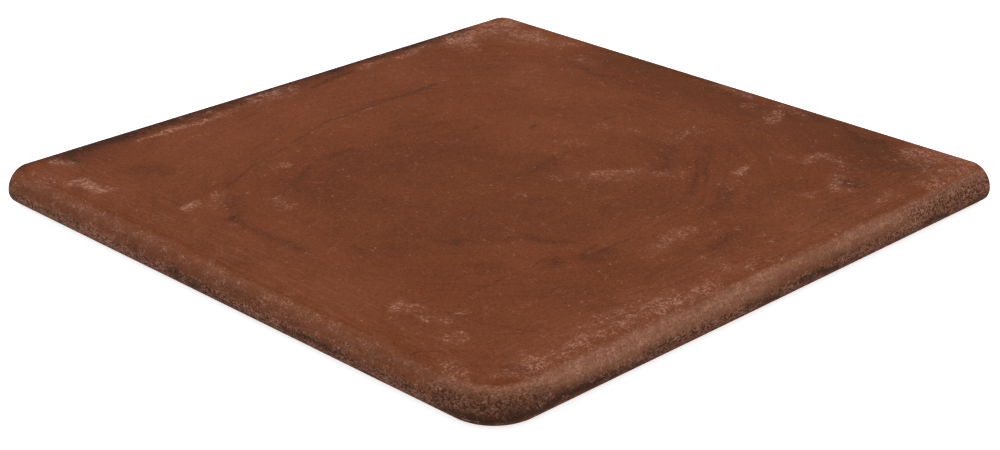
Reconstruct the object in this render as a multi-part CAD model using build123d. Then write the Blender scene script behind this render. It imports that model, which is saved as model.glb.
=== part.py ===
from build123d import *
import os

# A corner tread tile for the outside corner of a flight of stairs, pressed from one clay body and fired.
# X and Y run along its square sides and Z is up, with the origin at the middle of the underside.
# The sides at -Y and +X are rounded noses, which overhang the risers and meet in a rounded corner.
# The sides at -X and +Y are upright joint faces, which butt against the next treads.

# Overall sizes, in millimetres
side = 330.0
thickness = 19.0

# The nose's upper arc rolls from the tread face to the furthest reach, and its lower arc takes what is
# left of the thickness, so that the nose is round all the way down
nose_top_radius = 11.0
nose_bottom_radius = thickness - nose_top_radius
corner_radius = 24.0

# Joint faces: the corner between them, and the soft edge all round them
joint_corner_radius = 6.0
arris_radius = 0.8

# Keying on the underside: rows of square pockets with sloping walls, which fill the flat of the underside
# but for the ribs between them and a plain border around them
key_rows = 7
key_rib = 6.0
key_border = 17.0
key_depth = 1.5
key_corner_radius = 6.0
key_wall_angle = 25.0

# Places that follow from the sizes
half = side / 2
nose_root = (max(nose_top_radius, nose_bottom_radius) + corner_radius) / 2
nearly = 1e-4


def nose_section():
    """The nose cut across, with its furthest reach at x = 0, its inside at -x and the underside at y = 0."""
    crest = (-nose_top_radius, thickness)
    reach = (0, nose_bottom_radius)
    foot = (-nose_bottom_radius, 0)
    upper_arc = RadiusArc(crest, reach, nose_top_radius)
    lower_arc = RadiusArc(reach, foot, nose_bottom_radius)
    inside = Polyline(foot, (-nose_root, 0), (-nose_root, thickness), crest)
    return make_face(upper_arc + lower_arc + inside)


def nose_path():
    """The line that the nose's furthest reach follows: the -Y side, round the corner and up the +X side."""
    corner_start = (half - corner_radius, -half)
    corner_end = (half, -half + corner_radius)
    front = Line((-half, -half), corner_start)
    corner = RadiusArc(corner_start, corner_end, -corner_radius)
    flank = Line(corner_end, (half, half))
    return front + corner + flank


def nose():
    """Both noses and the rounded corner between them, in one sweep."""
    across_the_path = Plane(origin=(-half, -half, 0), x_dir=(0, -1, 0), z_dir=(-1, 0, 0))
    return sweep(across_the_path * nose_section(), path=nose_path())


def core():
    """The slab inside the noses, which reaches out to the joint faces."""
    inner = half - nose_root
    inner_radius = corner_radius - nose_root
    outline = Polyline(
        (inner, -inner + inner_radius),
        (inner, half),
        (-half, half),
        (-half, -inner),
        (inner - inner_radius, -inner),
    )
    corner = RadiusArc((inner - inner_radius, -inner), (inner, -inner + inner_radius), -inner_radius)
    return extrude(make_face(outline + corner), amount=thickness)


def is_upright_between_joint_faces(edge):
    """Whether an edge is the upright one where the two joint faces meet."""
    middle = edge.center()
    return abs(middle.X + half) < nearly and abs(middle.Y - half) < nearly


def borders_a_joint_face(edge):
    """Whether an edge lies in a joint face or runs round the corner between them, and isn't upright there."""
    box = edge.bounding_box()
    if box.size.Z > nearly and box.min.Y > half - 2 * joint_corner_radius and box.max.X < 0:
        return False
    on_minus_x = box.max.X < -half + nearly
    on_plus_y = box.min.Y > half - nearly
    at_joint_corner = (
        box.max.X < -half + joint_corner_radius + nearly and box.min.Y > half - joint_corner_radius - nearly
    )
    return on_minus_x or on_plus_y or at_joint_corner


def keying_pockets():
    """The pockets to be pressed into the underside, as solids, in a square grid inside the border."""
    field = side - nose_bottom_radius - 2 * key_border
    pitch = (field + key_rib) / key_rows
    width = pitch - key_rib
    middle = nose_bottom_radius / 2
    mouth = RectangleRounded(width, width, key_corner_radius)
    grid = Pos(-middle, middle) * GridLocations(pitch, pitch, key_rows, key_rows)
    return [place * extrude(mouth, amount=key_depth, taper=key_wall_angle) for place in grid]


def corner_tread():
    """The whole tile, as one solid."""
    tile = core() + nose()
    tile = fillet(tile.edges().filter_by(is_upright_between_joint_faces), joint_corner_radius)
    tile = fillet(tile.edges().filter_by(borders_a_joint_face), arris_radius)
    return tile - keying_pockets()


tile = corner_tread()
os.makedirs("parts", exist_ok=True)
export_step(tile, "parts/corner_tread.step")
print("volume", round(tile.volume), "mm3, size", tile.bounding_box().size)
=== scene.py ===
import math

import bmesh
import bpy
import numpy as np
from mathutils import Matrix, Vector


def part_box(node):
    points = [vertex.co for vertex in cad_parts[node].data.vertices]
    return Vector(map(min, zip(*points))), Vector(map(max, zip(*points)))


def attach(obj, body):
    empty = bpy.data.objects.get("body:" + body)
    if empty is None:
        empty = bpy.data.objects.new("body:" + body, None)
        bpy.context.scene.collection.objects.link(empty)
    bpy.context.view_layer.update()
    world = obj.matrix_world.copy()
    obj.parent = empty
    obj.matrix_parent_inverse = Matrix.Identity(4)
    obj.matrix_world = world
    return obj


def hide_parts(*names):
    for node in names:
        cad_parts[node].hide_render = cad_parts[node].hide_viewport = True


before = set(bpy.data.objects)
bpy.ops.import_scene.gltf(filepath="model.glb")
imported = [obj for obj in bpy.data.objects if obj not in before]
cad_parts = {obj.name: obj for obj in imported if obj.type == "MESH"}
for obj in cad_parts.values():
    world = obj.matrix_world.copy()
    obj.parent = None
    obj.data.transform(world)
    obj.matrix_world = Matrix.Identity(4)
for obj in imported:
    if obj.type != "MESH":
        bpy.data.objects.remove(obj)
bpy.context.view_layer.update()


# The tread's body: one slab of stoneware clay, pressed in a mould that rolls its two outer sides into
# noses and turns a rounded corner between them. The two inner sides are cut upright, to butt against
# the next treads, and the fired arris round each cut face is worn just off sharp.
mm = 0.001
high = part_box("corner_tread")[1]
half = high[0]
thickness = high[2]
nose_top_radius = 11 * mm
nose_bottom_radius = thickness - nose_top_radius
corner_radius = 24 * mm
joint_corner_radius = 6 * mm
arris_radius = 0.8 * mm
crest = half - nose_top_radius
foot = half - nose_bottom_radius
# The steps of the mesh along a side, from a crest to its foot, and round an arris
cells = 240
rows = 24
arris_rings = 4


def nose_profile(steps, inset=0.0):
    """How far the nose reaches past its crest, and its height, in even steps from the crest to the foot."""
    upper = (nose_top_radius - inset) * math.pi / 2
    lower = (nose_bottom_radius - inset) * math.pi / 2
    along = np.linspace(0, upper + lower, steps + 1)
    turn = np.minimum(along, upper) / (nose_top_radius - inset)
    tuck = np.maximum(along - upper, 0) / (nose_bottom_radius - inset)
    reach = (nose_top_radius - inset) * np.sin(turn)
    reach -= (nose_bottom_radius - inset) * (1 - np.cos(tuck))
    height = nose_bottom_radius + (nose_top_radius - inset) * np.cos(turn)
    height -= (nose_bottom_radius - inset) * np.sin(tuck)
    return reach, height


def along_side(straight, radius, steps):
    """Even steps along a straight side and half of the rounded corner at its end, with their directions."""
    travel = np.linspace(0, straight + radius * math.pi / 4, steps + 1)
    bend = np.maximum(travel - straight, 0) / radius
    forward = np.minimum(travel, straight) + radius * np.sin(bend)
    sideways = radius * (1 - np.cos(bend))
    return forward, sideways, bend


def patch(start, end, first, last):
    """A grid of points between four edges: start and end run across, first and last run along."""
    v = np.linspace(0, 1, len(start))[:, None, None]
    u = np.linspace(0, 1, len(first))[None, :, None]
    across = (1 - u) * start[:, None] + u * end[:, None]
    along = (1 - v) * first[None] + v * last[None]
    corners = (1 - u) * (1 - v) * start[0] + u * (1 - v) * end[0]
    corners = corners + (1 - u) * v * start[-1] + u * v * end[-1]
    return across + along - corners


def points(x, y, z):
    """One array of points from three arrays or numbers."""
    return np.stack(np.broadcast_arrays(x, y, z), axis=-1)


def mirrored(grid):
    """The same grid on the other side of the tile's plane of symmetry, which swaps -Y with +X."""
    return np.stack([-grid[..., 1], -grid[..., 0], grid[..., 2]], axis=-1)


def nose_grid():
    """The nose along the -Y side, from its cut end to the middle of the rounded corner."""
    cut_end = -half + arris_radius
    radius = corner_radius - nose_top_radius
    forward, sideways, bend = along_side(crest - radius - cut_end, radius, cells)
    reach, height = nose_profile(rows)
    x = (cut_end + forward)[None] + np.sin(bend)[None] * reach[:, None]
    y = (-crest + sideways)[None] - np.cos(bend)[None] * reach[:, None]
    return points(x, y, height[:, None])


def cut_face_grid():
    """The upright face at -X with the soft arris round it, from the joint corner to the nose's cut end."""
    straight = half - joint_corner_radius
    grid = np.zeros((rows + 1, cells + 1, 3))
    for ring in range(arris_rings + 1):
        roll = ring / arris_rings * math.pi / 2
        inset = arris_radius * (1 - math.cos(roll))
        depth = arris_radius * (1 - math.sin(roll))
        reach, height = nose_profile(rows - 2 * ring, inset)
        upright = np.linspace(thickness - inset, inset, rows - 2 * ring + 1)
        radius = joint_corner_radius - depth
        steps = cells - ring
        for row, end, level in ((ring, -crest, thickness - inset), (rows - ring, -foot, inset)):
            forward, sideways, bend = along_side(straight - end, radius, steps)
            line = points(-half + depth + sideways, end + forward, level)
            grid[row, : steps + 1] = line[::-1]
        between = slice(ring, rows - ring + 1)
        grid[between, steps] = points(-half + depth, -crest - reach, height)
        corner = grid[ring, 0].copy()
        grid[between, 0] = points(corner[0], corner[1], upright)
    inner = slice(arris_rings, rows - arris_rings + 1)
    along = slice(0, cells - arris_rings + 1)
    edges = grid[inner, 0], grid[inner, cells - arris_rings]
    edges += grid[arris_rings, along], grid[rows - arris_rings, along]
    grid[inner, along] = patch(*edges)
    return grid


def tile_mesh():
    """The whole tile as one closed mesh, with its underside still flat."""
    nose = nose_grid()
    cut_face = cut_face_grid()
    front, left = nose[0], cut_face[0]
    top = patch(left[::-1], mirrored(front)[::-1], front, mirrored(left))
    underside = [nose[-1], mirrored(nose)[-1][::-1], mirrored(cut_face)[-1][::-1], cut_face[-1]]
    bm = bmesh.new()
    for grid in (top, nose, mirrored(nose), cut_face, mirrored(cut_face)):
        verts = [[bm.verts.new(point) for point in line] for line in grid]
        for line, next_line in zip(verts, verts[1:]):
            for a, b, c, d in zip(line, line[1:], next_line[1:], next_line):
                bm.faces.new((a, b, c, d))
    outline = np.concatenate([side[:-1] for side in underside])
    bm.faces.new([bm.verts.new(point) for point in outline])
    bmesh.ops.remove_doubles(bm, verts=bm.verts, dist=0.01 * mm)
    bmesh.ops.recalc_face_normals(bm, faces=bm.faces)
    mesh = bpy.data.meshes.new("corner_tread_body")
    bm.to_mesh(mesh)
    bm.free()
    return mesh


def node(tree, kind, inputs, **settings):
    """Adds one node, with its settings and with values or links for its inputs, and gives its outputs."""
    made = tree.nodes.new(kind)
    for name, value in settings.items():
        setattr(made, name, value)
    for name, value in inputs.items():
        if isinstance(value, bpy.types.NodeSocket):
            tree.links.new(value, made.inputs[name])
        else:
            made.inputs[name].default_value = value
    return made.outputs


def rule(name, sizes):
    """An empty Geometry Nodes tree, with a named input for each size."""
    tree = bpy.data.node_groups.new(name, "GeometryNodeTree")
    tree.interface.new_socket("Geometry", in_out="INPUT", socket_type="NodeSocketGeometry")
    for size, value in sizes.items():
        kind = "NodeSocketInt" if isinstance(value, int) else "NodeSocketFloat"
        tree.interface.new_socket(size, in_out="INPUT", socket_type=kind)
    tree.interface.new_socket("Geometry", in_out="OUTPUT", socket_type="NodeSocketGeometry")
    return tree


def apply_rule(piece, tree, sizes):
    """Runs a tree on a piece, and leaves the piece with the plain mesh that comes out of it."""
    modifier = piece.modifiers.new(tree.name, "NODES")
    modifier.node_group = tree
    for socket in tree.interface.items_tree:
        if socket.in_out == "INPUT" and socket.name in sizes:
            modifier[socket.identifier] = sizes[socket.name]
    evaluated = piece.evaluated_get(bpy.context.evaluated_depsgraph_get())
    mesh = bpy.data.meshes.new_from_object(evaluated)
    piece.modifiers.clear()
    piece.data = mesh


relief_sizes = {
    "Wave": 0.16 * mm,
    "Wave length": 70 * mm,
    "Ripple": 0.08 * mm,
    "Ripple length": 15 * mm,
    "Sand": 0.09 * mm,
    "Sand length": 2.8 * mm,
    "Pit": 0.25 * mm,
    "Seed": 4.0,
}


def relief_rule(clay):
    """Pressed by hand: slow waves, ripples and a few pits in the face, and sandy noses and cut faces.

    The relief dies out towards the flat underside.
    """
    tree = rule("hand_pressed_relief", relief_sizes)
    given = node(tree, "NodeGroupInput", {})
    place = node(tree, "GeometryNodeInputPosition", {})[0]
    height = node(tree, "ShaderNodeSeparateXYZ", {0: place})[2]
    face_height, sandy_height, face_share = 19 * mm, 18 * mm, 0.25
    values = {0: height, 1: face_height, 2: sandy_height, 3: face_share, 4: 1.0}
    sandy = node(tree, "ShaderNodeMapRange", values)[0]
    depth = 0.0
    for name, detail, share in (("Wave", 1.0, 1.0), ("Ripple", 2.0, 1.0), ("Sand", 2.0, sandy)):
        scale = node(tree, "ShaderNodeMath", {0: 0.5, 1: given[name + " length"]}, operation="DIVIDE")[0]
        values = {"Vector": place, "W": given["Seed"], "Scale": scale, "Detail": detail}
        noise = node(tree, "ShaderNodeTexNoise", values, noise_dimensions="4D")[0]
        sunk = node(tree, "ShaderNodeMapRange", {0: noise, 1: 0.25, 2: 0.75, 3: 0.5, 4: -0.5})[0]
        size = node(tree, "ShaderNodeMath", {0: given[name], 1: share}, operation="MULTIPLY")[0]
        values = {0: sunk, 1: size, 2: depth}
        depth = node(tree, "ShaderNodeMath", values, operation="MULTIPLY_ADD")[0]
    pit_cell, pit_reach, unpitted = 13 * mm, 0.14, 0.7
    pits = node(tree, "ShaderNodeTexVoronoi", {"Vector": place, "Scale": 1 / pit_cell})
    values = {0: pits["Distance"], 1: 0.0, 2: pit_reach, 3: 1.0, 4: 0.0}
    hollow = node(tree, "ShaderNodeMapRange", values)[0]
    chosen = node(tree, "ShaderNodeSeparateXYZ", {0: pits["Color"]})[0]
    chosen = node(tree, "ShaderNodeMath", {0: chosen, 1: unpitted}, operation="GREATER_THAN")[0]
    hollow = node(tree, "ShaderNodeMath", {0: hollow, 1: chosen}, operation="MULTIPLY")[0]
    values = {0: hollow, 1: given["Pit"], 2: depth}
    depth = node(tree, "ShaderNodeMath", values, operation="MULTIPLY_ADD")[0]
    flat_to, full_from = 0.2 * mm, 3 * mm
    above = node(tree, "ShaderNodeMapRange", {0: height, 1: flat_to, 2: full_from, 3: 0.0, 4: -1.0})[0]
    inwards = node(tree, "ShaderNodeMath", {0: depth, 1: above}, operation="MULTIPLY")[0]
    normal = node(tree, "GeometryNodeInputNormal", {})[0]
    move = node(tree, "ShaderNodeVectorMath", {0: normal, 3: inwards}, operation="SCALE")[0]
    worn = node(tree, "GeometryNodeSetPosition", {"Geometry": given["Geometry"], "Offset": move})[0]
    whole = node(tree, "GeometryNodeRealizeInstances", {0: worn})[0]
    whole = node(tree, "GeometryNodeSetMaterial", {"Geometry": whole, "Material": clay})[0]
    node(tree, "NodeGroupOutput", {0: whole})
    return tree


keying_sizes = {
    "Rows": 7,
    "Pocket": 36 * mm,
    "Rib": 6 * mm,
    "Depth": 1.5 * mm,
    "Corner radius": 6 * mm,
    "Wall angle": math.radians(25),
    "Off centre": 4 * mm,
}


def keying_rule(clay):
    """The mould's studs press a grid of square pockets, with rounded corners and sloping walls, from below.

    Each stud starts a clear millimetre under the tile, so that it cuts the underside cleanly.
    """
    tree = rule("pressed_keying", keying_sizes)
    given = node(tree, "NodeGroupInput", {})
    clear = 1 * mm
    slope = node(tree, "ShaderNodeMath", {0: given["Wall angle"]}, operation="TANGENT")[0]
    flare = node(tree, "ShaderNodeMath", {0: slope, 1: 2 * clear}, operation="MULTIPLY")[0]
    foot_width = node(tree, "ShaderNodeMath", {0: given["Pocket"], 1: flare}, operation="ADD")[0]
    rise = node(tree, "ShaderNodeMath", {0: given["Depth"], 1: clear}, operation="ADD")[0]
    taper = node(tree, "ShaderNodeMath", {0: slope, 1: rise}, operation="MULTIPLY")[0]
    taper = node(tree, "ShaderNodeMath", {0: taper, 1: foot_width}, operation="DIVIDE")[0]
    head = node(tree, "ShaderNodeMath", {0: taper, 1: -2.0, 2: 1.0}, operation="MULTIPLY_ADD")[0]
    square = {"Width": foot_width, "Height": foot_width}
    outline = node(tree, "GeometryNodeCurvePrimitiveQuadrilateral", square)[0]
    corners = {"Curve": outline, "Count": 6, "Radius": given["Corner radius"]}
    outline = node(tree, "GeometryNodeFilletCurve", corners, mode="POLY")[0]
    base = node(tree, "GeometryNodeFillCurve", {"Curve": outline}, mode="NGONS")[0]
    raised = node(tree, "GeometryNodeExtrudeMesh", {"Mesh": base, "Offset Scale": rise}, mode="FACES")
    top = {"Geometry": raised["Mesh"], "Selection": raised["Top"], "Scale": head}
    stud = node(tree, "GeometryNodeScaleElements", top, domain="FACE")[0]
    closing = node(tree, "GeometryNodeFlipFaces", {"Mesh": base})[0]
    joined = node(tree, "GeometryNodeJoinGeometry", {"Geometry": stud})
    tree.links.new(closing, tree.nodes[-1].inputs[0])
    stud = node(tree, "GeometryNodeMergeByDistance", {"Geometry": joined[0], "Distance": 0.001 * mm})[0]
    pitch = node(tree, "ShaderNodeMath", {0: given["Pocket"], 1: given["Rib"]}, operation="ADD")[0]
    gaps = node(tree, "ShaderNodeMath", {0: given["Rows"], 1: 1.0}, operation="SUBTRACT")[0]
    span = node(tree, "ShaderNodeMath", {0: pitch, 1: gaps}, operation="MULTIPLY")[0]
    spread = {"Size X": span, "Size Y": span, "Vertices X": given["Rows"], "Vertices Y": given["Rows"]}
    grid = node(tree, "GeometryNodeMeshGrid", spread)[0]
    studs = node(tree, "GeometryNodeInstanceOnPoints", {"Points": grid, "Instance": stud})[0]
    aside = node(tree, "ShaderNodeMath", {0: given["Off centre"], 1: -1.0}, operation="MULTIPLY")[0]
    middle = node(tree, "ShaderNodeCombineXYZ", {0: aside, 1: given["Off centre"], 2: -clear})[0]
    studs = node(tree, "GeometryNodeTransform", {"Geometry": studs, "Translation": middle})[0]
    studs = node(tree, "GeometryNodeRealizeInstances", {0: studs})[0]
    cut = {"Mesh 1": given["Geometry"], "Mesh 2": studs}
    pressed = node(tree, "GeometryNodeMeshBoolean", cut, operation="DIFFERENCE", solver="MANIFOLD")[0]
    whole = node(tree, "GeometryNodeRealizeInstances", {0: pressed})[0]
    whole = node(tree, "GeometryNodeSetMaterial", {"Geometry": whole, "Material": clay})[0]
    node(tree, "NodeGroupOutput", {0: whole})
    return tree


# The hand finish: the pressed face is slurried, wiped and fired with its dust on, which leaves a darker
# middle, soot along the cut edges and a pale bloom in the corners. Each mark below is how strong it is,
# how far it spreads in millimetres, and the line that it follows over the face, in millimetres.
umber_marks = [
    (1.0, 20, [(-60, 154), (-10, 152), (60, 148), (130, 140)]),
    (0.3, 10, [(-52, 130), (-25, 128)]),
    (0.4, 10, [(145, 118), (145, 65)]),
    (0.35, 10, [(112, 82), (110, 60)]),
    (0.4, 8.8, [(130, 30), (130, -5)]),
    (0.3, 10, [(135, -25), (130, -60), (128, -85)]),
    (0.25, 10, [(74, -85), (76, -85)]),
    (0.55, 14, [(-35, -72), (-15, -76)]),
    (0.15, 14, [(150, 75), (147, 20)]),
    (0.35, 15, [(-45, -158), (-10, -158)]),
    (0.25, 12.5, [(-4, -135), (-1, -135)]),
    (0.3, 12.5, [(-116, -118), (-114, -118)]),
]
blush_marks = [
    (0.5, 20, [(-128, 65), (-128, -10), (-128, -60), (-135, -85)]),
    (0.4, 20, [(-90, 115), (-80, 90)]),
    (0.3, 10, [(96, 0), (95, -22)]),
    (0.2, 14, [(150, -30), (148, -85), (150, -120)]),
    (0.1, 25, [(140, -30), (135, -110), (110, -140)]),
    (0.4, 15, [(-145, -148), (-105, -152)]),
]
bloom_marks = [
    (0.5, 10, [(-158, 160), (-158, 138), (-152, 118)]),
    (0.4, 9, [(-150, 115), (-136, 109)]),
    (0.45, 5, [(-156, 98), (-154, 75)]),
    (0.5, 3, [(-156, 65), (-154, 50)]),
    (0.4, 10, [(-150, 158), (-132, 150), (-105, 154)]),
    (0.3, 12.5, [(-145, 140), (-120, 142)]),
    (0.35, 7.5, [(-82, 142), (-72, 140)]),
    (0.25, 10, [(-90, 115), (-80, 92)]),
    (0.4, 3.5, [(-5, 161), (25, 160)]),
    (0.4, 3.5, [(40, 160), (60, 159)]),
    (0.4, 4.5, [(29, 148), (30, 150)]),
    (0.6, 6, [(44, 150), (50, 142)]),
    (0.5, 11, [(128, 160), (160, 160), (162, 135)]),
    (0.3, 9, [(130, 150), (148, 142), (158, 130)]),
    (0.5, 4, [(95, 118), (98, 110)]),
    (0.4, 6, [(100, 119), (112, 119), (119, 109), (126, 99), (130, 92)]),
    (0.3, 4.5, [(80, 106), (90, 109)]),
    (0.4, 7, [(151, 105), (153, 92)]),
    (0.3, 4, [(124, 82), (125, 75)]),
    (0.7, 3.5, [(81, 82), (85, 75)]),
    (0.3, 10, [(32, 102), (30, 90)]),
    (0.3, 7.5, [(-2, 78), (8, 78)]),
    (0.3, 5.5, [(-5, 45), (5, 50)]),
    (0.38, 6, [(62, 52), (48, 42), (38, 28)]),
    (0.34, 7, [(52, 36), (40, 24), (28, 10)]),
    (0.45, 7, [(112, 5), (113, -5), (116, -25)]),
    (0.22, 10, [(156, 70), (156, 15), (158, -25), (155, -50)]),
    (0.25, 6.2, [(148, -10), (135, -10)]),
    (0.24, 12, [(150, -52), (146, -85), (150, -105)]),
    (0.38, 6.5, [(150, -147), (156, -138), (157, -100), (157, -30)]),
    (0.6, 3.5, [(76, -134), (81, -138)]),
    (0.35, 5, [(94, -134), (100, -132)]),
    (0.35, 5, [(117, -136), (119, -138)]),
    (0.5, 5.5, [(151, -130), (154, -131)]),
    (0.5, 6.2, [(131, -156), (145, -160)]),
    (0.7, 5.5, [(-68, -130), (-66, -132)]),
    (0.35, 6.2, [(-70, -112), (-58, -120)]),
    (0.5, 3.8, [(-77, -69), (-76, -72)]),
    (0.3, 8.8, [(-45, -100), (-35, -98)]),
    (0.8, 4.5, [(-150, -139), (-155, -142)]),
    (0.8, 5.5, [(-128, -151), (-112, -148)]),
    (0.5, 6.2, [(-140, -158), (-150, -160)]),
    (0.7, 2.2, [(-151, -55), (-150, -85), (-150, -100)]),
    (0.4, 7, [(-153, -5), (-152, -35), (-150, -75)]),
    (0.08, 14, [(144, -130), (146, -60), (150, -20)]),
    (0.35, 2.5, [(-102, -162), (-40, -163), (10, -162), (85, -163)]),
    (0.5, 3, [(-158, 5), (-158, -25)]),
    (0.4, 2.5, [(-160, -50), (-160, -65)]),
]
soot_marks = [
    (1, 10, [(-165, -62), (-164, -90), (-162.5, -115), (-160, -134)]),
    (1, 8, [(-166, 128), (-165, 90), (-165, 60), (-165, 35)]),
    (0.85, 8, [(-165, 35), (-165, 5), (-164, -25), (-164, -50), (-165, -68)]),
    (0.7, 2, [(-153, 42), (-152, 25), (-151, 8)]),
    (0.5, 1.8, [(-157, 128), (-156, 100)]),
    (0.5, 1.5, [(-157, 8), (-156, -20), (-157, -45)]),
    (0.8, 2, [(-150, -134), (-148, -136)]),
    (0.75, 4, [(-164, -133), (-165, -145), (-165, -156)]),
    (0.5, 2.5, [(-90, 162), (-40, 162), (-5, 162)]),
    (0.4, 1.8, [(-5, 154), (25, 152), (60, 150)]),
    (0.4, 4.5, [(55, 162), (80, 158), (105, 152)]),
    (0.28, 12, [(98, 158), (105, 146), (130, 132), (142, 138)]),
    (0.65, 4.5, [(127, 104), (132, 101)]),
    (0.45, 5, [(92, 55), (101, 42), (105, 35)]),
    (0.5, 3, [(52, 90), (56, 86)]),
    (0.28, 5, [(40, 76), (52, 58), (58, 52)]),
    (0.33, 3.5, [(61, 80), (75, 55), (85, 42)]),
    (0.35, 5, [(10, 28), (15, 5)]),
    (0.52, 5, [(91, -58), (94, -60)]),
    (0.5, 3, [(70, -46), (82, -42)]),
    (0.5, 2.5, [(95, -35), (98, -45)]),
    (0.5, 2.5, [(102, -30), (105, -42), (101, -48)]),
    (0.4, 3.5, [(-42, -126), (-25, -127), (8, -126)]),
    (0.4, 4, [(-60, -109), (-50, -120), (-42, -126)]),
    (0.25, 10, [(-116, -117), (-114, -118)]),
    (0.4, 2.5, [(-107, 55), (-108, 25), (-107, -2)]),
    (0.4, 2.5, [(-68, -35), (-69, -50), (-62, -68), (-52, -82)]),
    (0.65, 2, [(-46, 32), (-45, 30)]),
    (0.65, 2.2, [(-28, 50), (-26, 49)]),
    (0.5, 2.2, [(-7, 86), (-6, 84)]),
    (0.5, 2, [(-82, 130), (-70, 132), (-50, 130)]),
    (0.5, 3.5, [(128, 15), (131, 2)]),
    (0.5, 3, [(48, -72), (50, -75)]),
    (0.4, 2.5, [(32, -109), (20, -110)]),
    (0.4, 3, [(150, -142), (160, -135)]),
]
ring_marks = [
    (0.55, 1.6, (79, -136), 4),
    (0.5, 1.6, (117, -137), 5),
    (0.45, 1.5, (86, -129), 3.5),
    (0.4, 1.5, (100, -121), 2.5),
]
wiped_middle = [
    (-40, 5), (-15, 18), (10, 31), (30, 15), (61, 40), (90, 30), (91, -10), (88, -35), (72, -48),
    (52, -75), (35, -106), (10, -106), (-25, -88), (-51, -85), (-69, -48), (-65, -20), (-55, -5),
]

# The same for the noses: along them from the cut end at -X, round the corner, to the one at +Y, and down
# from the crest
# Pale dust on the noses, and painted light that lightens the lower +X nose
nose_bloom_and_painted_light_marks = [
    (0.25, 3, [(4, 8), (40, 8)]),
    (0.3, 3, [(40, 8), (75, 8.5), (110, 8)]),
    (0.15, 3, [(110, 8.5), (160, 8.5)]),
    (0.25, 3, [(160, 8.5), (230, 8.5), (300, 8.5)]),
    (0.85, 3, [(0, 20), (50, 19.5), (98, 20)]),
    (0.75, 2.8, [(300, 7.5), (320, 7), (335, 7.5)]),
    (0.95, 3.8, [(335, 8), (370, 9), (400, 10), (440, 10), (487, 9.5)]),
    (0.8, 3.8, [(487, 9.5), (520, 9.5), (600, 9.5), (648, 9)]),
    # These three are painted light: they lighten the lower +X nose, 11 to 14 mm down from the crest, where
    # shade falls
    (0.65, 4.5, [(365, 11), (425, 12.5), (480, 12)]),
    (0.55, 4, [(355, 11.5), (380, 11), (420, 14)]),
    (0.5, 4, [(535, 11.5), (595, 11.5)]),
]
nose_soot_marks = [
    (0.5, 1, [(2, 17), (20, 17.3), (40, 17.3), (62, 16.5)]),
    (0.7, 2.5, [(0, 21), (6, 19)]),
    (0.35, 3, [(400, 21.5), (480, 21.5), (560, 21.5), (650, 21.5)]),
    (0.5, 1.5, [(85, 17), (98, 19)]),
    (0.4, 2, [(100, 15), (118, 17)]),
    (0.8, 3, [(128, 18), (140, 19), (150, 19.5)]),
    (0.5, 3, [(150, 17), (162, 20)]),
    (0.4, 1.5, [(162, 12), (175, 13), (190, 14)]),
    (0.5, 2, [(163, 20), (180, 21)]),
    (0.8, 2, [(205, 20), (225, 18), (240, 17.5)]),
    (0.6, 1, [(225, 17), (260, 17.5), (285, 18)]),
    (0.6, 1.5, [(250, 21), (262, 22)]),
    (0.4, 1.5, [(285, 16.5), (300, 16)]),
    (0.8, 3, [(298, 21), (310, 20), (322, 20)]),
    (0.5, 4.5, [(300, 14), (325, 13), (345, 15)]),
    (0.95, 3.8, [(315, 21), (330, 19.5), (345, 19), (360, 18.5), (385, 20)]),
    (0.7, 2.5, [(385, 19), (405, 19.5)]),
    (0.6, 2, [(405, 15.5), (420, 17)]),
    (0.4, 2, [(420, 19), (440, 19)]),
    (0.8, 2.5, [(468, 17.5), (480, 19), (490, 20)]),
    (1.0, 1.8, [(505, 18), (520, 18.5), (532, 20.5)]),
    (0.35, 2.5, [(530, 14), (545, 15.5)]),
    (0.4, 2, [(540, 20), (560, 21)]),
    (0.5, 2, [(565, 19), (580, 21)]),
    (0.9, 2, [(598, 19), (605, 18.5), (615, 20)]),
    (0.35, 4, [(610, 12), (640, 14)]),
    (0.6, 2.5, [(635, 20), (650, 20)]),
]
nose_grit_marks = [
    (1.0, 6, [(300, 15), (345, 15)]),
    (1.0, 6, [(590, 13), (650, 14)]),
    (0.8, 3, [(530, 17), (560, 17)]),
]

# How far down from the crest, in millimetres, the face's finish fades out, the noses' own starts and the
# raw nose comes through. Then how dark the wiped middle is, and the least bloom on the face and the noses.
face_finish_fades = 4.5, 7
nose_finish_starts = 5.6
raw_nose_shows = 5.5, 12
middle_umber = 0.42
least_bloom = 0.1
least_nose_bloom = 0.32


def distance_to(places, line):
    """How far each place is from a line of points."""
    nearest = np.full(len(places), np.inf)
    line = np.array(line, dtype=float)
    for start, end in zip(line, line[1:] if len(line) > 1 else line):
        run = end - start
        share = np.clip((places - start) @ run / max(run @ run, 1e-9), 0, 1)
        nearest = np.minimum(nearest, np.linalg.norm(places - start - share[:, None] * run, axis=1))
    return nearest


def painted(places, marks):
    """How strongly a set of marks covers each place, from 0 to 1."""
    bare = np.ones(len(places))
    for strength, spread, line in marks:
        bare *= 1 - strength * np.exp(-((distance_to(places, line) / spread) ** 2))
    return 1 - bare


def ringed(places, marks):
    """The same for marks that are rings: strength, spread, centre and radius."""
    bare = np.ones(len(places))
    for strength, spread, centre, radius in marks:
        off = np.linalg.norm(places - np.array(centre), axis=1) - radius
        bare *= 1 - strength * np.exp(-((np.where(off < 0, off * 0.6, off) / spread) ** 2))
    return 1 - bare


def ramp(value, low_end, high_end):
    """A smooth step from 0 to 1."""
    share = np.clip((value - low_end) / (high_end - low_end), 0, 1)
    return share * share * (3 - 2 * share)


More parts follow.
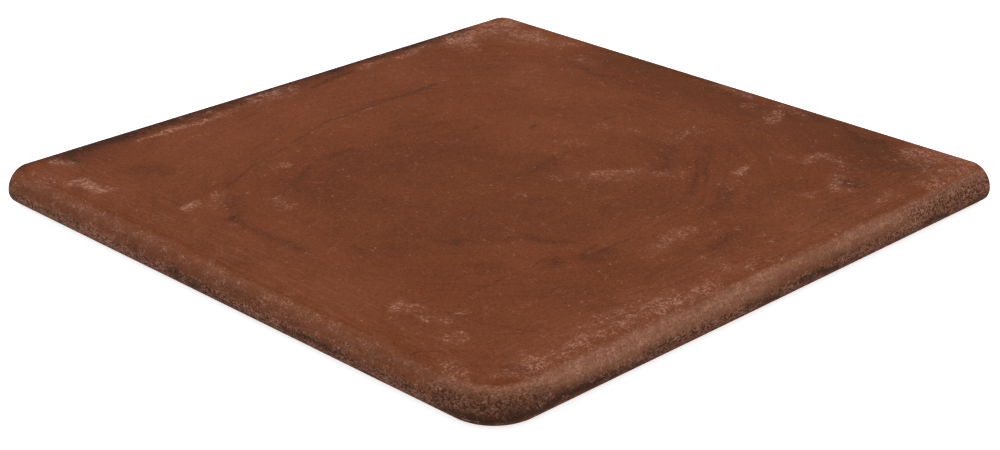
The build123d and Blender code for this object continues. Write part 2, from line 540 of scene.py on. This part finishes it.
def inside(places, outline, softness):
    """1 inside an outline and 0 outside, with a soft edge."""
    crossings = np.zeros(len(places), dtype=bool)
    corners = np.array(outline, dtype=float)
    for (x0, y0), (x1, y1) in zip(corners, np.roll(corners, -1, axis=0)):
        spans = (y0 > places[:, 1]) != (y1 > places[:, 1])
        reach = x0 + (places[:, 1] - y0) / (y1 - y0 if y1 != y0 else 1) * (x1 - x0)
        crossings ^= spans & (places[:, 0] < reach)
    edge = distance_to(places, outline + outline[:1])
    return ramp(np.where(crossings, edge, -edge), -softness, softness)


def round_the_nose(co):
    """How far along the noses and how far down from the crest each vertex lies, in millimetres."""
    radius = (corner_radius - nose_top_radius) / mm
    centre = crest / mm - radius
    x, y, z = co.T
    along_x, along_y = x - centre, -centre - y
    corner = (along_x > 0) & (along_y > 0)
    past = np.where(corner, np.hypot(along_x, along_y), np.maximum(along_x, along_y)) - radius
    upper, lower = nose_top_radius / mm, nose_bottom_radius / mm
    turn = np.arctan2(np.clip(past, 0, None), np.clip(z - lower, 1e-6, None))
    tuck = np.arcsin(np.clip((lower - z) / lower, 0, 1))
    down = np.where(past > 0, upper * turn + lower * tuck, past)
    down = np.where((z < 0.05) & (past < upper - lower), upper * math.pi / 2 + lower * math.pi / 2, down)
    sweep = np.arctan2(np.clip(along_x, 0, None), np.clip(along_y, 1e-6, None))
    straight = half / mm + centre
    bend = corner_radius / mm
    along = np.where(corner, straight + bend * sweep, 0)
    along = np.where(~corner & (along_y > along_x), x + half / mm, along)
    along = np.where(~corner & (along_x >= along_y), straight + bend * math.pi / 2 + y + centre, along)
    return along, down


def keep(mesh, name, values):
    """Stores one number at each vertex, for the material to read."""
    mesh.attributes.new(name, "FLOAT", "POINT").data.foreach_set("value", values.astype(np.float32))


def wandering(places, reach, length, seed):
    """The places moved about a little, so that nothing laid by hand keeps a ruled edge."""
    draw = np.random.default_rng(seed)
    moved = places.copy()
    for shrink in (1, 1, 1, 2, 2, 2, 4, 4, 4):
        heading, push, start = draw.uniform(0, 2 * math.pi, 3)
        wave = np.array([math.cos(heading), math.sin(heading)]) * 2 * math.pi * shrink / length
        shift = np.array([math.cos(push), math.sin(push)]) * reach / shrink
        moved += np.sin(places @ wave + start)[:, None] * shift
    return moved


def paint_finish(mesh):
    """Lays the hand finish on the finished mesh, as attributes, with painted light low on the +X nose."""
    co = np.empty(len(mesh.vertices) * 3)
    mesh.vertices.foreach_get("co", co)
    co = co.reshape(-1, 3) / mm
    along, down = round_the_nose(co)
    face = wandering(co[:, :2], 1.2, 30, 3)
    nose_places = wandering(np.stack([along, down], axis=1), 0.5, 25, 5)
    on_top = 1 - ramp(down, *face_finish_fades)
    on_nose = 1 - on_top
    side, worn_edge = half / mm, 0.5
    cut = np.maximum(ramp(-co[:, 0], side - worn_edge, side), ramp(co[:, 1], side - worn_edge, side))
    under = (co[:, 2] < 2) & (down < (nose_top_radius - nose_bottom_radius) / mm)
    under = np.maximum(under, 1 - ramp(co[:, 2], 0.1, 0.8))
    keep(mesh, "bare", np.maximum(cut, under))
    keep(mesh, "along", along)
    keep(mesh, "down", down)
    keep(mesh, "lower", ramp(down, *raw_nose_shows))
    middle = inside(face, wiped_middle, softness=6)
    keep(mesh, "umber", np.maximum(middle * middle_umber, painted(face, umber_marks)) * on_top)
    keep(mesh, "blush", painted(face, blush_marks) * on_top)
    # Pale dust on the noses, with painted light that lightens the lower +X nose, where shade falls
    nose_bloom_and_painted_light = painted(nose_places, nose_bloom_and_painted_light_marks)
    top_bloom = np.maximum(least_bloom, painted(face, bloom_marks))
    top_bloom = np.maximum(top_bloom, ringed(face, ring_marks))
    # On the noses, the bloom and the veil also carry that painted light
    low_bloom_and_painted_light = np.maximum(least_nose_bloom, nose_bloom_and_painted_light * 0.5)
    keep(mesh, "bloom_and_painted_light", top_bloom * on_top + low_bloom_and_painted_light * on_nose)
    keep(mesh, "veil_and_painted_light", nose_bloom_and_painted_light * ramp(down, nose_finish_starts, 6.6))
    nose_soot = painted(nose_places, nose_soot_marks) * on_nose
    keep(mesh, "soot", painted(face, soot_marks) * on_top + nose_soot)
    nose_grit = painted(nose_places, nose_grit_marks) * ramp(down, nose_finish_starts, 9)
    keep(mesh, "grit", np.maximum(ramp(nose_places[:, 1], 14.5, 17.5), nose_grit))


def linear(code):
    """A colour for the shader, from its sRGB hex value."""
    parts = [int(code[i : i + 2], 16) / 255 for i in (1, 3, 5)]
    return [p / 12.92 if p <= 0.04045 else ((p + 0.055) / 1.055) ** 2.4 for p in parts] + [1]


# Lines that a tool and the cloth left in the slurry: their width in millimetres, how strong they are, and
# where they run
tool_lines = [
    (1.4, 0.6, [(-105, 102), (-107, 55), (-106, 5), (-105, -20), (-92, -55), (-85, -80), (-70, -112)]),
    (1.8, 0.5, [(52, 92), (80, 57), (95, 35), (99, -10), (100, -47)]),
    (1.6, 0.35, [(47, 88), (72, 60), (88, 36), (93, 0)]),
    (1.6, 0.35, [(62, 96), (88, 60), (103, 34)]),
    (2.2, 0.4, [(40, 80), (60, 47)]),
    (2.4, 0.4, [(-42, -126), (-20, -127), (8, -126)]),
    (0.9, 0.6, [(111, -160), (125, -146), (135, -132)]),
    (0.9, 0.5, [(95, -125), (117, -120), (135, -111)]),
    (0.8, 0.35, [(89, -60), (90, -85), (91, -110)]),
]


def fired_clay():
    """Fired stoneware clay with a rubbed slurry finish: matt and sandy to the eye, with no gloss anywhere."""
    material = bpy.data.materials.new("fired_stoneware_clay")
    material.use_nodes = True
    tree = material.node_tree
    tree.nodes.clear()
    at = node(tree, "ShaderNodeTexCoord", {})["Object"]
    place = node(tree, "ShaderNodeVectorMath", {0: at, 3: 1 / mm}, operation="SCALE")["Vector"]

    # What was laid on the mesh above: where it is bare, dark, ruddy, bloomed, dusty, sooty or gritty, where
    # painted light lies low on the +X nose, and where on the noses each point lies
    laid = {}
    for name in ("bare", "umber", "blush", "bloom_and_painted_light", "veil_and_painted_light", "soot", "grit", "lower", "along", "down"):
        laid[name] = node(tree, "ShaderNodeAttribute", {}, attribute_name=name)["Fac"]

    # The noses were smoothed along their length, so their finer marks are drawn out along them
    drawn_out = node(tree, "ShaderNodeCombineXYZ", {0: laid["along"], 1: laid["down"]})[0]
    drawn_out = node(tree, "ShaderNodeVectorMath", {0: drawn_out, 1: (1.1, 1.6, 0)}, operation="MULTIPLY")[0]
    values = {0: laid["down"], 1: nose_finish_starts}
    rolled = node(tree, "ShaderNodeMath", values, operation="GREATER_THAN")[0]
    rubbed = node(tree, "ShaderNodeMix", {0: rolled, 4: place, 5: drawn_out}, data_type="VECTOR")[1]

    # Noise of each size that the finish has: the width of a blot in millimetres, detail and roughness. The
    # real sand and grain are finer, and are drawn this coarse so that they show in the render.
    noises = {}
    for name, where, blot, detail, roughness in (
        ("clouds", place, 26, 3, 0.5),
        ("mottle", place, 7, 4, 0.6),
        ("patches", rubbed, 2.6, 3, 0.6),
        ("curls", rubbed, 1.0, 2, 0.6),
        ("sand", rubbed, 0.6, 2, 0.7),
        ("grain", place, 0.45, 1, 0.6),
    ):
        values = {"Vector": where, "W": blot, "Scale": 0.5 / blot, "Detail": detail, "Roughness": roughness}
        noises[name] = node(tree, "ShaderNodeTexNoise", values, noise_dimensions="4D")["Fac"]

    # Fine curled flecks, where the curls' noise crosses its middle. They lie thickest where the bloom is
    # strongest, and patches and sand break them up.
    off_middle = node(tree, "ShaderNodeMath", {0: noises["curls"], 1: 0.5}, operation="SUBTRACT")[0]
    off_middle = node(tree, "ShaderNodeMath", {0: off_middle}, operation="ABSOLUTE")[0]
    curl = node(tree, "ShaderNodeMapRange", {0: off_middle, 1: 0.01, 2: 0.06, 3: 1.0, 4: 0.0})[0]
    level = node(tree, "ShaderNodeMath", {0: noises["patches"], 1: 1.7, 2: -1.85}, operation="MULTIPLY_ADD")[0]
    level = node(tree, "ShaderNodeMath", {0: noises["sand"], 1: 1.4, 2: level}, operation="MULTIPLY_ADD")[0]
    level = node(tree, "ShaderNodeMath", {0: laid["bloom_and_painted_light"], 1: 1.1, 2: level}, operation="MULTIPLY_ADD")[0]
    thick = node(tree, "ShaderNodeMapRange", {0: level, 1: 0.03, 2: 0.5, 3: 0.0, 4: 1.0})[0]
    flecks = node(tree, "ShaderNodeMath", {0: curl, 1: thick}, operation="MULTIPLY")[0]

    # Soot lies in grains, densest where it is laid strongest
    level = node(tree, "ShaderNodeMath", {0: noises["sand"], 1: 3.6, 2: -2.5}, operation="MULTIPLY_ADD")[0]
    level = node(tree, "ShaderNodeMath", {0: laid["soot"], 1: level}, operation="ADD")[0]
    grains = node(tree, "ShaderNodeMapRange", {0: level, 1: 0.0, 2: 0.4, 3: 0.0, 4: 1.0})[0]

    # The middle's worn edge, and the blots of the slurry
    edge = node(tree, "ShaderNodeMath", {0: noises["mottle"], 1: 1.3, 2: -0.65}, operation="MULTIPLY_ADD")[0]
    edge = node(tree, "ShaderNodeMath", {0: laid["umber"], 1: edge}, operation="ADD")[0]
    edge = node(tree, "ShaderNodeMapRange", {0: edge, 1: 0.0, 2: 0.9, 3: 0.0, 4: 1.0})[0]
    dark = node(tree, "ShaderNodeMapRange", {0: laid["umber"], 1: 0.0, 2: 0.25, 3: 0.3, 4: 1.0})[0]
    dark = node(tree, "ShaderNodeMath", {0: dark, 1: edge}, operation="MULTIPLY")[0]
    blots = node(tree, "ShaderNodeMapRange", {0: noises["mottle"], 1: 0.5, 2: 0.75, 3: 0.0, 4: 1.0})[0]
    cloudy = node(tree, "ShaderNodeMapRange", {0: noises["clouds"], 1: 0.35, 2: 0.65, 3: 0.0, 4: 1.0})[0]

    # The dusty veil on the noses was wiped along them, so its streaks run along them too, and a few lie
    # brushed on the face within 40 mm of the crest. Their length and width are in millimetres. Low on the +X
    # nose the veil is also painted light, which lightens the shade there.
    streak_length, streak_width = 9, 1.1
    values = {0: laid["along"], 1: 0.5 / streak_length}
    along = node(tree, "ShaderNodeMath", values, operation="MULTIPLY")[0]
    values = {0: laid["down"], 1: 0.5 / streak_width}
    across = node(tree, "ShaderNodeMath", values, operation="MULTIPLY")[0]
    wiped = node(tree, "ShaderNodeCombineXYZ", {0: along, 1: across})[0]
    values = {"Vector": wiped, "Scale": 1.0, "Detail": 4.0, "Roughness": 0.65}
    streaks = node(tree, "ShaderNodeTexNoise", values)["Fac"]
    dusty_and_painted_light = node(tree, "ShaderNodeMapRange", {0: streaks, 1: 0.35, 2: 0.65, 3: 0.45, 4: 1.0})[0]
    dusty_and_painted_light = node(tree, "ShaderNodeMath", {0: dusty_and_painted_light, 1: laid["veil_and_painted_light"]}, operation="MULTIPLY")[0]
    beside = node(tree, "ShaderNodeMapRange", {0: laid["down"], 1: -40.0, 2: -5.0, 3: 0.0, 4: 1.0})[0]
    brushed = node(tree, "ShaderNodeMapRange", {0: streaks, 1: 0.48, 2: 0.68, 3: 0.0, 4: 1.0})[0]
    brushed = node(tree, "ShaderNodeMath", {0: brushed, 1: beside}, operation="MULTIPLY")[0]

    # Salt and pepper grit of the raw sandy clay, low on the noses, and the mottling above it
    pepper = node(tree, "ShaderNodeMapRange", {0: noises["sand"], 1: 0.42, 2: 0.58, 3: 0.0, 4: 1.0})[0]
    gritty = {0: pepper, 6: linear("#371D13"), 7: linear("#976853")}
    gritty = node(tree, "ShaderNodeMix", gritty, data_type="RGBA")[2]
    mottled = node(tree, "ShaderNodeMath", {0: streaks, 1: noises["sand"]}, operation="ADD")[0]
    mottled = node(tree, "ShaderNodeMapRange", {0: mottled, 1: 1.0, 2: 1.2, 3: 0.0, 4: 1.0})[0]
    mottled = node(tree, "ShaderNodeMath", {0: mottled, 1: laid["lower"]}, operation="MULTIPLY")[0]

    # The slurry was wiped on in circles, so its streaks follow circles round the middle of the face, and
    # fade out within 45 mm of it. The middle and the width of a streak are in millimetres.
    wipe_middle, wipe_width, wipe_turn = (10, -10, 0), 2.2, 4.0
    flat = node(tree, "ShaderNodeVectorMath", {0: place, 1: (1, 1, 0)}, operation="MULTIPLY")[0]
    centred = node(tree, "ShaderNodeVectorMath", {0: flat, 1: wipe_middle}, operation="SUBTRACT")[0]
    outward = node(tree, "ShaderNodeVectorMath", {0: centred}, operation="LENGTH")["Value"]
    heading = node(tree, "ShaderNodeVectorMath", {0: centred}, operation="NORMALIZE")[0]
    heading = node(tree, "ShaderNodeVectorMath", {0: heading, 3: wipe_turn}, operation="SCALE")[0]
    ring = node(tree, "ShaderNodeMath", {0: outward, 1: 0.5 / wipe_width}, operation="MULTIPLY")[0]
    ring = node(tree, "ShaderNodeCombineXYZ", {2: ring})[0]
    swirl = node(tree, "ShaderNodeVectorMath", {0: heading, 1: ring}, operation="ADD")[0]
    values = {"Vector": swirl, "Scale": 1.0, "Detail": 4.0, "Roughness": 0.6}
    wipes = node(tree, "ShaderNodeTexNoise", values)["Fac"]
    wipes = node(tree, "ShaderNodeMapRange", {0: wipes, 1: 0.45, 2: 0.72, 3: 0.0, 4: 1.0})[0]
    clear = node(tree, "ShaderNodeMapRange", {0: outward, 1: 10.0, 2: 45.0, 3: 0.0, 4: 1.0})[0]
    wipes = node(tree, "ShaderNodeMath", {0: wipes, 1: clear}, operation="MULTIPLY")[0]
    taken = node(tree, "ShaderNodeMapRange", {0: noises["clouds"], 1: 0.62, 2: 0.4, 3: 0.1, 4: 1.0})[0]
    wipes = node(tree, "ShaderNodeMath", {0: wipes, 1: taken}, operation="MULTIPLY")[0]

    # Thin tool and cloth lines in the slurry, which stray by up to 2.5 mm each way from their straight runs
    stray = node(tree, "ShaderNodeVectorMath", {0: flat, 1: (0.08, 0.08, 0)}, operation="MULTIPLY")[0]
    stray = node(tree, "ShaderNodeTexNoise", {"Vector": stray, "Scale": 1.0, "Detail": 3.0})["Color"]
    values = {0: stray, 1: (5, 5, 0), 2: (-2.5, -2.5, 0)}
    stray = node(tree, "ShaderNodeVectorMath", values, operation="MULTIPLY_ADD")[0]
    hand = node(tree, "ShaderNodeVectorMath", {0: flat, 1: stray}, operation="ADD")[0]
    lines = 0.0
    for width, strength, line in tool_lines:
        for start, end in zip(line, line[1:]):
            start, run = Vector((*start, 0)), Vector((*end, 0)) - Vector((*start, 0))
            past = node(tree, "ShaderNodeVectorMath", {0: hand, 1: start}, operation="SUBTRACT")[0]
            share = {0: past, 1: run / run.length_squared}
            share = node(tree, "ShaderNodeVectorMath", share, operation="DOT_PRODUCT")["Value"]
            share = node(tree, "ShaderNodeMath", {0: share, 1: 0.0}, operation="ADD", use_clamp=True)[0]
            near = node(tree, "ShaderNodeVectorMath", {0: run, 3: share}, operation="SCALE")[0]
            off = node(tree, "ShaderNodeVectorMath", {0: past, 1: near}, operation="DISTANCE")["Value"]
            drawn = node(tree, "ShaderNodeMapRange", {0: off, 1: 0.0, 2: width, 3: strength, 4: 0.0})[0]
            lines = node(tree, "ShaderNodeMath", {0: drawn, 1: lines}, operation="MAXIMUM")[0]
    faint = node(tree, "ShaderNodeMapRange", {0: noises["mottle"], 1: 0.38, 2: 0.6, 3: 0.15, 4: 1.0})[0]
    lines = node(tree, "ShaderNodeMath", {0: lines, 1: faint}, operation="MULTIPLY")[0]

    # The layers from the clay outwards: the colour, where it lies and how much of it shows there
    colour = linear("#6B351A")
    for name, tint, cover, share in (
        ("cloudy_slurry", linear("#733C21"), cloudy, 1.0),
        ("wiped_umber", linear("#582D15"), dark, 0.68),
        ("ruddy_clay", linear("#7E432C"), laid["blush"], 0.55),
        ("dark_blots", linear("#5C301C"), blots, 0.12),
        ("wipe_streaks", linear("#502B19"), wipes, 0.5),
        ("brushed_edges", linear("#885541"), brushed, 0.35),
        ("tool_lines", linear("#382014"), lines, 0.9),
        ("raw_nose", linear("#6E3F2A"), laid["lower"], 0.8),
        ("nose_mottle", linear("#3A2116"), mottled, 0.6),
        # The veil and the bloom haze are also painted light, which lightens the lower +X nose where shade
        # falls
        ("dusty_veil_and_painted_light", linear("#976C54"), dusty_and_painted_light, 0.85),
        ("bloom_haze_and_painted_light", linear("#83513C"), laid["bloom_and_painted_light"], 0.45),
        ("salt_and_pepper", gritty, laid["grit"], 0.85),
        ("soot_wash", linear("#3A2115"), laid["soot"], 0.62),
        ("soot_grains", linear("#24140D"), grains, 0.8),
        ("bloom_flecks", linear("#BA8973"), flecks, 0.7),
    ):
        shown = node(tree, "ShaderNodeMath", {0: cover, 1: share}, operation="MULTIPLY", name=name)[0]
        colour = node(tree, "ShaderNodeMix", {0: shown, 6: colour, 7: tint}, data_type="RGBA")[2]

    # Single specks of pale sand and of dark iron: the cell in millimetres, how far from its middle the
    # speck reaches as a share of it, the share of cells with no speck, and the colour
    for cell, reach, empty, tint in ((4, 0.1, 0.84, "#BE907A"), (5, 0.1, 0.7, "#2A1810")):
        specks = node(tree, "ShaderNodeTexVoronoi", {"Vector": place, "Scale": 1 / cell})
        speck = {0: specks["Distance"], 1: reach * 0.4, 2: reach, 3: 0.75, 4: 0.0}
        speck = node(tree, "ShaderNodeMapRange", speck)[0]
        drawn = node(tree, "ShaderNodeSeparateColor", {0: specks["Color"]})[0]
        drawn = node(tree, "ShaderNodeMath", {0: drawn, 1: empty}, operation="GREATER_THAN")[0]
        shown = node(tree, "ShaderNodeMath", {0: speck, 1: drawn}, operation="MULTIPLY")[0]
        colour = node(tree, "ShaderNodeMix", {0: shown, 6: colour, 7: linear(tint)}, data_type="RGBA")[2]

    # The raw body shows on the cut faces and underneath
    raw = {0: noises["mottle"], 6: linear("#76452F"), 7: linear("#8B583E")}
    raw = node(tree, "ShaderNodeMix", raw, data_type="RGBA")[2]
    colour = node(tree, "ShaderNodeMix", {0: laid["bare"], 6: colour, 7: raw}, data_type="RGBA")[2]
    value = node(tree, "ShaderNodeMapRange", {0: noises["grain"], 1: 0.25, 2: 0.75, 3: 0.74, 4: 1.26})[0]
    colour = node(tree, "ShaderNodeHueSaturation", {"Color": colour, "Value": value})[0]

    bumps = {"Height": noises["sand"], "Distance": 0.06 * mm, "Strength": 0.5}
    bumps = node(tree, "ShaderNodeBump", bumps)["Normal"]
    skin = {"Base Color": colour, "Roughness": 0.9, "Specular IOR Level": 0.08, "IOR": 1.5, "Normal": bumps}
    shader = node(tree, "ShaderNodeBsdfPrincipled", skin)[0]
    node(tree, "ShaderNodeOutputMaterial", {0: shader})
    return material


tread = bpy.data.objects.new("fired_tread", tile_mesh())
bpy.context.collection.objects.link(tread)
clay = fired_clay()
apply_rule(tread, relief_rule(clay), relief_sizes)
apply_rule(tread, keying_rule(clay), keying_sizes)
paint_finish(tread.data)
tread.data.shade_smooth()
tread.data.set_sharp_from_angle(angle=math.radians(30))
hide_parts("corner_tread")
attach(tread, "root")


# The stage, which is no part of the tile: a plain white floor under it, and soft and even light from a
# wide lamp overhead and a pale room
def seen_rays(tree):
    """1 for what the camera sees, straight, mirrored or through something clear, and 0 for light cast."""
    seen = node(tree, "ShaderNodeLightPath", {})
    rays = [seen["Is Camera Ray"], seen["Is Glossy Ray"], seen["Is Transmission Ray"]]
    shown = node(tree, "ShaderNodeMath", {0: rays[0], 1: rays[1]}, operation="MAXIMUM")[0]
    return node(tree, "ShaderNodeMath", {0: shown, 1: rays[2]}, operation="MAXIMUM")[0]


def white_floor():
    """White to the camera and in reflections, but for the object's shadow."""
    material = bpy.data.materials.new("white_floor")
    material.use_nodes = True
    tree = material.node_tree
    tree.nodes.clear()
    paint = node(tree, "ShaderNodeBsdfDiffuse", {"Color": linear("#E6E6E6")})[0]
    glow = node(tree, "ShaderNodeEmission", {"Color": (1, 1, 1, 1), "Strength": 0.75})[0]
    lit = node(tree, "ShaderNodeAddShader", {0: paint, 1: glow})[0]
    surface = node(tree, "ShaderNodeMixShader", {0: seen_rays(tree), 1: paint, 2: lit})[0]
    node(tree, "ShaderNodeOutputMaterial", {0: surface})
    return material


floor_reach = 4
floor_corners = [(x * floor_reach, y * floor_reach, 0) for x, y in ((-1, -1), (1, -1), (1, 1), (-1, 1))]
floor_mesh = bpy.data.meshes.new("floor")
floor_mesh.from_pydata(floor_corners, [], [(0, 1, 2, 3)])
floor = bpy.data.objects.new("floor", floor_mesh)
floor_mesh.materials.append(white_floor())
bpy.context.collection.objects.link(floor)

world = bpy.data.worlds.new("pale_room")
bpy.context.scene.world = world
world.use_nodes = True
tree = world.node_tree
tree.nodes.clear()
strength = node(tree, "ShaderNodeMapRange", {0: seen_rays(tree), 3: 0.8, 4: 1.0})[0]
room = node(tree, "ShaderNodeBackground", {"Color": (1, 1, 1, 1), "Strength": strength})[0]
node(tree, "ShaderNodeOutputWorld", {0: room})

lamp = bpy.data.lights.new("wide_lamp", "AREA")
lamp.size = 2.0
lamp.energy = 14
lamp_object = bpy.data.objects.new("wide_lamp", lamp)
lamp_object.location = (-0.3, 0.3, 2.0)
towards_tread = -lamp_object.location
lamp_object.rotation_euler = towards_tread.to_track_quat("-Z", "Y").to_euler()
bpy.context.collection.objects.link(lamp_object)


# The camera stands where the photograph was taken from, in front of the nosed corner and above it. Its
# place, turn and focal length were fitted to the tile's outline in the photograph.
focal_pixels = 2157.38
image_width = 1000
distance, aside, lowered = 1.0275, 0.010561, 0.009437
azimuth, elevation, roll = math.radians(45.038), math.radians(23.466), math.radians(-0.132)
back = Vector(
    (math.sin(azimuth) * math.cos(elevation), -math.cos(azimuth) * math.cos(elevation), math.sin(elevation))
)
right = Vector((math.cos(azimuth), math.sin(azimuth), 0))
up = back.cross(right)
camera = bpy.data.objects.new("camera", bpy.data.cameras.new("camera"))
camera.data.sensor_width = 36
camera.data.lens = focal_pixels / image_width * camera.data.sensor_width
camera.data.shift_x = -0.0215
camera_right = right * math.cos(roll) + up * math.sin(roll)
camera_up = up * math.cos(roll) - right * math.sin(roll)
stand = back * distance + right * aside - up * lowered
turned = Matrix((camera_right, camera_up, back)).transposed().to_4x4()
camera.matrix_world = Matrix.Translation(stand) @ turned
bpy.context.collection.objects.link(camera)
bpy.context.scene.camera = camera
bpy.context.scene.view_settings.view_transform = "Standard"
